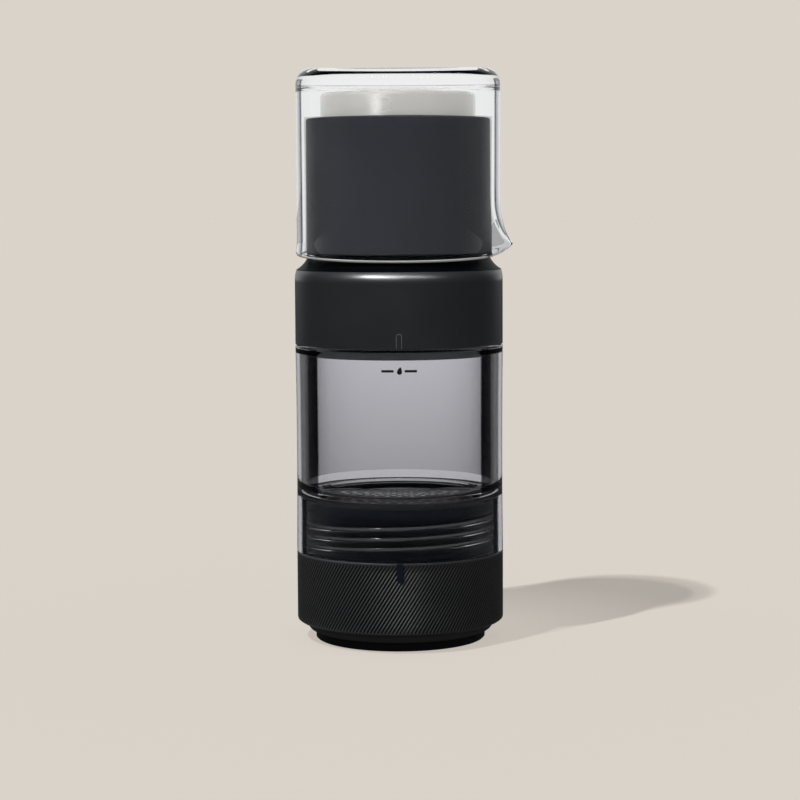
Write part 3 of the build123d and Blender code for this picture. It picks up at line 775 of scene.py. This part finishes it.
# %% Border and inner side
draw_in(turned_by, outwards=True)
pick(loop_now)
for radius, level in [(38.1, 32.65), (37.85, 32.9), (34.4, 32.9), (34.4, 30.9), (35.0, 30.9)]:
    pull(radius, level)
bpy.ops.mesh.select_all(action="DESELECT")
bpy.ops.mesh.select_non_manifold()
bpy.ops.mesh.bridge_edge_loops()
bpy.ops.object.mode_set(mode="OBJECT")
finish_piece(grip, "knurled_grip", crease=40)
grip.data.materials.append(black_grip)
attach(grip, "coffee_chamber")
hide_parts("grip_ring")

# %% [markdown]
# ## The index mark on the grip
#
# A smooth pointed mark on the front of the grip lines up with the rib on the clear chamber when
# the two are screwed tight. It starts as a plane on the front, gets its slanted tip, and is then
# wrapped onto the grip by a Cast modifier, which moves every point out to one radius.

# %% Index mark
def front_patch(name, width, low, high, cuts=6):
    """A subdivided upright plane on the front, between two levels, in millimetres."""
    deselect_all()
    bpy.ops.mesh.primitive_plane_add(
        size=1, location=(0, -38 * mm, (low + high) / 2 * mm), rotation=(math.pi / 2, 0, 0)
    )
    patch = bpy.context.object
    patch.name = name
    patch.scale = (width * mm, (high - low) * mm, 1)
    bpy.ops.object.transform_apply(location=True, rotation=True, scale=True)
    bpy.ops.object.mode_set(mode="EDIT")
    bpy.ops.mesh.select_all(action="SELECT")
    bpy.ops.mesh.subdivide(number_cuts=cuts)
    return patch


def wrap_front(patch, radius, thickness):
    """Casts the patch to a cylinder round the axis and gives it a thickness outwards."""
    active(patch)
    cast = patch.modifiers.new("wrap", "CAST")
    cast.cast_type = "CYLINDER"
    cast.factor = 1.0
    cast.use_z = False
    cast.use_radius_as_size = False
    cast.size = radius * mm
    bpy.ops.object.modifier_apply(modifier="wrap")
    solid = patch.modifiers.new("thickness", "SOLIDIFY")
    solid.thickness = thickness * mm
    solid.offset = 0
    bpy.ops.object.modifier_apply(modifier="thickness")


mark_width, mark_low, mark_high = 2.35, 25.8, 32.88
index_mark = front_patch("index_mark", mark_width, mark_low, mark_high)
pick(lambda p: p.z < (mark_low + 0.05) * mm)
bpy.ops.transform.resize(value=(0.45, 1, 1), center_override=(1.0 * mm, -38 * mm, mark_low * mm))
bpy.ops.object.mode_set(mode="OBJECT")
wrap_front(index_mark, radius=38.05, thickness=0.4)
finish_piece(index_mark, "index_mark", crease=40)
print("mark", [tuple(index_mark.bound_box[i]) for i in (0, 6)])
index_mark.data.materials.append(black_deep)
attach(index_mark, "coffee_chamber")

# %% [markdown]
# ## The screw threads
#
# Under the clear chamber's wall the coffee chamber's neck carries a two-start thread with a lead
# of 7.2 mm, and the clear socket round it has its counterpart, whose ridges lie between the black
# ones. One ridge's section is a small plane with its free corners drawn together. A Screw
# modifier sweeps it round while it climbs, both ends are capped, and a copy turned half round is
# the second start.

# %% Thread ridge
thread_lead = 7.2


def thread_ridge(name, root, crest, low, width, crest_width, turns, bevel=0.0, steps=160):
    """One start of a right-hand thread from its lowest level, in millimetres."""
    deselect_all()
    bpy.ops.mesh.primitive_plane_add(
        size=1, location=((root + crest) / 2 * mm, 0, low * mm), rotation=(math.pi / 2, 0, 0)
    )
    ridge = bpy.context.object
    ridge.scale = (abs(crest - root) * mm, width * mm, 1)
    bpy.ops.object.transform_apply(location=True, rotation=True, scale=True)
    bpy.ops.object.mode_set(mode="EDIT")
    pick(lambda p: abs(p.x - crest * mm) < 1e-6)
    bpy.ops.transform.resize(
        value=(1, 1, crest_width / width), center_override=(crest * mm, 0, low * mm)
    )
    if bevel:
        bpy.ops.mesh.bevel(offset=bevel * mm, segments=3, affect="VERTICES")
    bpy.ops.mesh.select_all(action="SELECT")
    bpy.ops.mesh.delete(type="ONLY_FACE")
    bpy.ops.object.mode_set(mode="OBJECT")
    sweep = ridge.modifiers.new("sweep", "SCREW")
    sweep.axis = "Z"
    sweep.angle = 2 * math.pi * turns
    sweep.screw_offset = thread_lead * turns * mm
    sweep.steps = sweep.render_steps = steps
    sweep.use_merge_vertices = False
    bpy.ops.object.modifier_apply(modifier="sweep")
    bpy.ops.object.mode_set(mode="EDIT")
    bpy.ops.mesh.select_all(action="DESELECT")
    bpy.ops.mesh.select_non_manifold()
    bpy.ops.mesh.fill_holes(sides=0)
    bpy.ops.object.mode_set(mode="OBJECT")
    return ridge


def second_start(ridge):
    """A copy of the ridge turned half round, joined to it."""
    active(ridge)
    bpy.ops.object.duplicate()
    bpy.context.object.rotation_euler = (0, 0, math.pi)
    bpy.ops.object.transform_apply(rotation=True)
    ridge.select_set(True)
    bpy.context.view_layer.objects.active = ridge
    bpy.ops.object.join()
    return ridge


# %% Neck thread and socket thread
neck_thread = second_start(thread_ridge("neck_thread", 34.1, 36.1, 35.9, 2.1, 1.5, 1.5, bevel=0.5))
finish_piece(neck_thread, "neck_thread", crease=50)
neck_thread.data.materials.append(black_thread)
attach(neck_thread, "coffee_chamber")

socket_thread = second_start(thread_ridge("socket_thread", 36.58, 36.34, 34.1, 2.2, 1.6, 1.5))
finish_piece(socket_thread, "socket_thread", crease=30)
socket_thread.data.materials.append(plain_clear)
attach(socket_thread, "water_chamber")
for thread in (neck_thread, socket_thread):
    levels = [p.co.z for p in thread.data.vertices]
    print(thread.name, "from", min(levels), "to", max(levels))

# %% [markdown]
# ## The pressed gasket
#
# The soft gasket under the clear floor is squeezed flat against it, so that it shows through the
# plastic as plain black with no glint between. The turned ring reaches a hundredth of a
# millimetre into the clear plastic and bulges a little at its rims.

# %% Pressed gasket
pressed_gasket = turned(
    [(30.7, 51.72), (30.2, 52.5), (30.3, 53.36), (36.4, 53.36), (36.58, 52.5), (36.4, 51.72)]
)
finish_piece(pressed_gasket, "pressed_gasket", crease=50)
pressed_gasket.data.materials.append(rubber_black)
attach(pressed_gasket, "chamber_seal")
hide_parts("chamber_gasket")

# %% [markdown]
# ## The carafe
#
# The glass carafe is stored upside down over the pump. It is a thick-based tumbler with a small
# pouring lip. The tumbler is pulled from the middle of its base up the outside, round the rim and
# back down the inside, upright on the axis. The lip is pulled out of the rim with proportional
# editing, as a glassblower does with a jack. The rim gets its own material slot, a white painted
# highlight, and at the end the whole carafe is turned to the lean it has against the handle.

# %% Carafe stations
carafe_bore, carafe_outer = 35.5, 37.2
carafe_depth, carafe_height = 61.5, 67.8
rim_flare = 0.6
carafe_stations = [(0.4, 67.1), (14.0, 67.1), (27.2, 67.1), (27.9, 67.4), (28.6, 67.8)]
carafe_stations += [(31.2, 67.8)]
carafe_stations += [
    (31.2 + 6.0 * math.sin(a), 61.8 + 6.0 * math.cos(a))
    for a in [math.radians(d) for d in (12, 25, 38, 51, 64, 77, 90)]
]
carafe_stations += [(carafe_outer, z) for z in (50.0, 40.0, 30.0, 22.0, 18.0, 16.0, 14.0)]


def flare(level):
    """How far the wall stands out at this level, near the rim."""
    return rim_flare * (1 - level / 7.0) ** 2 if level < 7.0 else 0.0


rim_levels = (12.5, 11, 9.5, 8, 6.5, 5, 3.6, 2.4, 1.4, 0.8)
carafe_stations += [(carafe_outer + flare(z), z) for z in rim_levels]
rim_middle = (carafe_bore + carafe_outer) / 2 + rim_flare - 0.1
carafe_stations += [
    (rim_middle + 0.82 * math.cos(a), 0.82 - 0.82 * math.sin(a))
    for a in [math.radians(d) for d in (35, 65, 90, 115, 145)]
]
carafe_stations += [(carafe_bore + flare(z), z) for z in reversed(rim_levels)]
carafe_stations += [(carafe_bore, z) for z in (14.0, 16.0, 18.0, 22.0, 30.0, 40.0, 50.0)]
carafe_stations += [
    (33.0 + 2.5 * math.sin(a), 59.0 + 2.5 * math.cos(a))
    for a in [math.radians(d) for d in (90, 75, 60, 45, 30, 15, 0)]
]
carafe_stations += [(20.0, carafe_depth), (8.0, carafe_depth), (0.4, carafe_depth)]
print("stations", len(carafe_stations))

# %% Pull the tumbler and its lip
lip_out, lip_up, lip_half = 4.4, 3.3, 3.2
lip_reach, smooth_half = 21.0, 16.0  # how far round the lip the rim follows and is smoothed
carafe = turned(carafe_stations, segments=192, ring=False)
active(carafe)
bpy.ops.object.transform_apply(location=True)
bpy.ops.object.mode_set(mode="EDIT")
pick(lambda p: p.x > 0.030 and abs(p.y) < lip_half * mm and p.z < 1.0 * mm)
bpy.ops.transform.translate(
    value=(lip_out * mm, 0, lip_up * mm),
    use_proportional_edit=True,
    proportional_edit_falloff="SHARP",
    proportional_size=lip_reach * mm,
    use_proportional_connected=False,
)
pick(lambda p: p.x > 0.030 and abs(p.y) < smooth_half * mm and 1.5 * mm < p.z < 20 * mm)
bpy.ops.mesh.vertices_smooth(factor=0.5, repeat=3)
bpy.ops.object.mode_set(mode="OBJECT")
print("lip reaches", max(p.co.x for p in carafe.data.vertices))

# %% Clear glass with a painted highlight on the rim
rim_height = 0.9
carafe.data.materials.append(clear_glass)
carafe.data.materials.append(painted_rim_highlight)
carafe.active_material_index = 1
bpy.ops.object.mode_set(mode="EDIT")
# the faces of the rim get the white painted highlight
pick(lambda p: p.z < rim_height * mm)
bpy.ops.object.material_slot_assign()
bpy.ops.object.mode_set(mode="OBJECT")
print("ground faces", sum(face.material_index for face in carafe.data.polygons))

# %% Lean it over the pump
lean = math.radians(3.6053)
rim_centre = Vector((0, 1.5589 * mm, 141.3592 * mm))
carafe.rotation_euler = (lean, 0, 0)
carafe.location = rim_centre
finish_piece(carafe, "glass_carafe", crease=60)
print("carafe", [list(c) for c in (carafe.bound_box[0], carafe.bound_box[6])])
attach(carafe, "carafe")
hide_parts("carafe")

# %% [markdown]
# ## The tamper's head
#
# The tamper's metal head mirrors the lamps so clearly that its round-over has to be perfectly
# even. It is turned afresh on the CAD solid's box: a flat dome, a rounded edge, a straight wall
# and the hollow for the black base.

# %% Tamper head
corners = [Vector(c) / mm for c in nodes["tamper_cap"].bound_box]
head_low, head_top = min(c.z for c in corners), max(c.z for c in corners)
head_radius = max(c.x for c in corners)
head_dome, head_round, head_shell = 1.85, 2.7, 1.0
dome_radius = (head_radius**2 + head_dome**2) / (2 * head_dome)
dome_centre = head_top - dome_radius
round_at = head_radius - head_round
round_level = dome_centre + math.sqrt((dome_radius - head_round) ** 2 - round_at**2)
meet = math.asin(round_at / (dome_radius - head_round))
head_stations = []


def arc(radius, across, up, first, last, steps):
    """Adds an arc's points to the section, by the angle from straight up."""
    for step in range(steps + 1):
        turn = first + (last - first) * step / steps
        head_stations.append((across + radius * math.sin(turn), up + radius * math.cos(turn)))


arc(dome_radius, 0, dome_centre, 0.002, meet, 12)
head_stations.pop()
arc(head_round, round_at, round_level, meet, math.pi / 2, 10)
head_ceiling = head_top - head_dome - head_round
for level in (0.8, 0.6, 0.4, 0.2, 0.0):
    head_stations.append((head_radius, head_low + (round_level - head_low) * level))
hollow_radius = head_radius - head_shell
head_stations += [(hollow_radius, head_low), (hollow_radius, head_ceiling), (0.4, head_ceiling)]
tamper_head = turned(head_stations, segments=256, ring=False)
finish_piece(tamper_head, "tamper_head", crease=30)
tamper_head.data.materials.append(satin_metal)
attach(tamper_head, "tamper")
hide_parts("tamper_cap")

# %% [markdown]
# ## The fill mark
#
# A thin printed line with a drop in its middle shows how high to fill the chamber. It is flat ink
# on the outside of the clear wall, so it is cut from planes, laid on the wall by a Shrinkwrap
# modifier and made a few hundredths of a millimetre thick.

# %% Print on the chamber's wall
def print_on_chamber(patch):
    active(patch)
    wrap = patch.modifiers.new("wrap", "SHRINKWRAP")
    wrap.target = nodes["water_chamber"]
    wrap.wrap_method = "PROJECT"
    wrap.use_project_y = True
    wrap.use_positive_direction = True
    wrap.offset = 0.02 * mm
    bpy.ops.object.modifier_apply(modifier="wrap")
    solid = patch.modifiers.new("ink", "SOLIDIFY")
    solid.thickness = 0.03 * mm
    bpy.ops.object.modifier_apply(modifier="ink")
    return patch


ink_black = solid_finish("ink_black", from_screen(14, 14, 16), 0.5, bump=0.05)
bar_width, bar_low, bar_high, bar_at = 4.3, 100.8, 101.65, 4.1
drop_radius, drop_level = 0.9, 100.9
marks = []
for side in (-1, 1):
    bar = front_patch("bar", bar_width, bar_low, bar_high, cuts=8)
    bpy.ops.object.mode_set(mode="OBJECT")
    active(bar)
    bar.location.x = side * bar_at * mm
    bar.location.y = -4 * mm
    bpy.ops.object.transform_apply(location=True)
    marks.append(print_on_chamber(bar))
deselect_all()
bpy.ops.mesh.primitive_circle_add(
    vertices=24, radius=drop_radius * mm, fill_type="NGON",
    location=(0.1 * mm, -42 * mm, drop_level * mm), rotation=(math.pi / 2, 0, 0),
)
drop = bpy.context.object
bpy.ops.object.transform_apply(location=True, rotation=True)
bpy.ops.object.mode_set(mode="EDIT")
pick(lambda p: p.z > 101.75 * mm)
bpy.ops.transform.translate(
    value=(0.35 * mm, 0, 0.8 * mm),
    use_proportional_edit=True,
    proportional_edit_falloff="SHARP",
    proportional_size=1.1 * mm,
)
bpy.ops.object.mode_set(mode="OBJECT")
marks.append(print_on_chamber(drop))
deselect_all()
for mark in marks:
    mark.select_set(True)
bpy.context.view_layer.objects.active = marks[0]
bpy.ops.object.join()
fill_mark = finish_piece(bpy.context.object, "fill_mark", merge=1e-7)
fill_mark.data.materials.append(ink_black)
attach(fill_mark, "water_chamber")

# %% [markdown]
# ## Finishes on the solids
#
# The rest of the maker keeps its CAD solids, which already have the right shape. Most get a
# finish from above. Three need one of their own: the filter is a fine weave, made from two waves
# that cross; the perforated screen is black, with a painted highlight on the edges of its holes,
# found by the normal; and the skirt has a soft crown, which a Bump node rounds over more than the
# solid does, and a painted highlight along the outline of its alignment rib.

# %% Woven mesh finish
woven = bpy.data.materials.new("woven_steel")
woven.use_nodes = True
tree = woven.node_tree
shader = tree.nodes["Principled BSDF"]
shader.inputs["Metallic"].default_value = 1.0
shader.inputs["Roughness"].default_value = 0.35
place = add_node(tree, "ShaderNodeTexCoord")
wires = []
for direction in ("X", "Y"):
    wave = add_node(tree, "ShaderNodeTexWave", bands_direction=direction)
    wave.inputs["Scale"].default_value = 900
    tree.links.new(place.outputs["Object"], wave.inputs["Vector"])
    wires.append(wave.outputs["Fac"])
weave = sums(tree, "MAXIMUM", *wires)
tree.links.new(bumped(tree, weave, 0.6, 0.0001).outputs["Normal"], shader.inputs["Normal"])
tone = tint_ramp(tree, weave, [(0.0, from_screen(70, 70, 72)), (1.0, from_screen(196, 196, 198))])
tree.links.new(tone, shader.inputs["Base Color"])
print("woven mesh made")

# %% Perforated screen finish: the sheet is black, with a painted highlight on the holes' edges
sheet_tone = from_screen(14, 16, 20)
screen_black = solid_finish("screen_black", sheet_tone, 0.35, Specular_IOR_Level=0.3, bump=0.0)
tree = screen_black.node_tree
level_faces = levelness(tree, add_node(tree, "ShaderNodeTexCoord"))
hole_edge_highlight = sums(tree, "LESS_THAN", level_faces, 0.5)
# painted highlight: the upright faces of the holes are near white
tone = mixed(tree, hole_edge_highlight, sheet_tone, from_screen(232, 233, 235))
tree.links.new(tone, tree.nodes["fine_grain"].inputs["Color"])
print("screen finish made")

# %% Skirt finish: a softly rounded crown
skirt_crown, crown_width, crown_lean = 135.9, 4.2, 0.6
tree = black_satin.node_tree
at = parts_of(tree, add_node(tree, "ShaderNodeTexCoord").outputs["Object"])


def over(level):
    """How far a point is above a level, and 0 below it."""
    return sums(tree, "SUBTRACT", at["Z"], level * mm, use_clamp=True)


squared = sums(tree, "POWER", over(skirt_crown - crown_width), 2)
drop_off = sums(tree, "MULTIPLY", squared, -crown_lean / (2 * crown_width * mm))
rounded = bumped(tree, drop_off, 1.0, 1.0)
tree.links.new(tree.nodes["fine_grain"].outputs["Normal"], rounded.inputs["Normal"])
tree.links.new(rounded.outputs["Normal"], tree.nodes["Principled BSDF"].inputs["Normal"])
print("crown made", skirt_crown)

# %% Skirt finish: a painted highlight along the alignment rib's outline
rib_half, rib_top, highlight_width = 0.95, 113.3, 0.13
from_middle = add_node(tree, "ShaderNodeCombineXYZ")
tree.links.new(at["X"], from_middle.inputs["X"])
tree.links.new(over(rib_top), from_middle.inputs["Y"])
distance = length_of(tree, from_middle.outputs[0])
on_rib_outline = sums(tree, "COMPARE", distance, rib_half * mm, highlight_width * mm)
in_front = sums(tree, "LESS_THAN", at["Y"], -38.0 * mm)
rib_highlight_mask = sums(tree, "MULTIPLY", on_rib_outline, in_front)
# painted highlight: the rib's outline is lighter than the black plastic
tone = mixed(tree, rib_highlight_mask, from_screen(22, 24, 28), from_screen(70, 72, 77))
tree.links.new(tone, tree.nodes["fine_grain"].inputs["Color"])
print("skirt finish made")

# %% One finish for each node
finishes = {
    "foot_pad": rubber_black,
    "foot_ring": foot_plastic,
    "filter_support": black_deep,
    "mesh_filter": woven,
    "filter_gasket": rubber_black,
    "coffee_chamber": black_deep,
    "shower_screen": screen_black,
    "chamber_gasket": rubber_black,
    "water_chamber": smoky_clear,
    "pump_base": black_deep,
    "check_valve": silicone,
    "lid_gasket": rubber_grey,
    "pump_skirt": black_satin,
    "pump_collar": collar_black_painted_shade,
    "barrel_seal": rubber_black,
    "pump_barrel": barrel_plastic,
    "barrel_cap": black_deep,
    "piston": black_deep,
    "piston_seal": silicone,
    "piston_rod": rod_metal,
    "pump_handle": charcoal,
    "handle_cap": black_deep,
    "rod_screw": plain_steel,
    "tamper_cap": satin_metal,
    "tamper_base": black_deep,
    "grip_ring": black_grip,
    "carafe": clear_glass,
}
for name, finish in finishes.items():
    mesh = nodes[name].data
    mesh.materials.clear()
    mesh.materials.append(finish)
print("painted", len(finishes), "nodes")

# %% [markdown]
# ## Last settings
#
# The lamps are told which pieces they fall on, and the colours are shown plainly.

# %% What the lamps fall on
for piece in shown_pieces():
    if piece.name in ("tamper_head", "neck_thread"):
        strip_lit.objects.link(piece)
    if piece.name in ("pump_skirt", "neck_thread"):
        crown_lit.objects.link(piece)
    if piece.name == "knurled_grip":
        side_lit.objects.link(piece)
    elif piece.name != "tamper_head":
        overhead_lit.objects.link(piece)
    if piece.name != "tamper_head":
        sun_lit.objects.link(piece)

# %% Colour management
bpy.context.scene.view_settings.view_transform = "Standard"
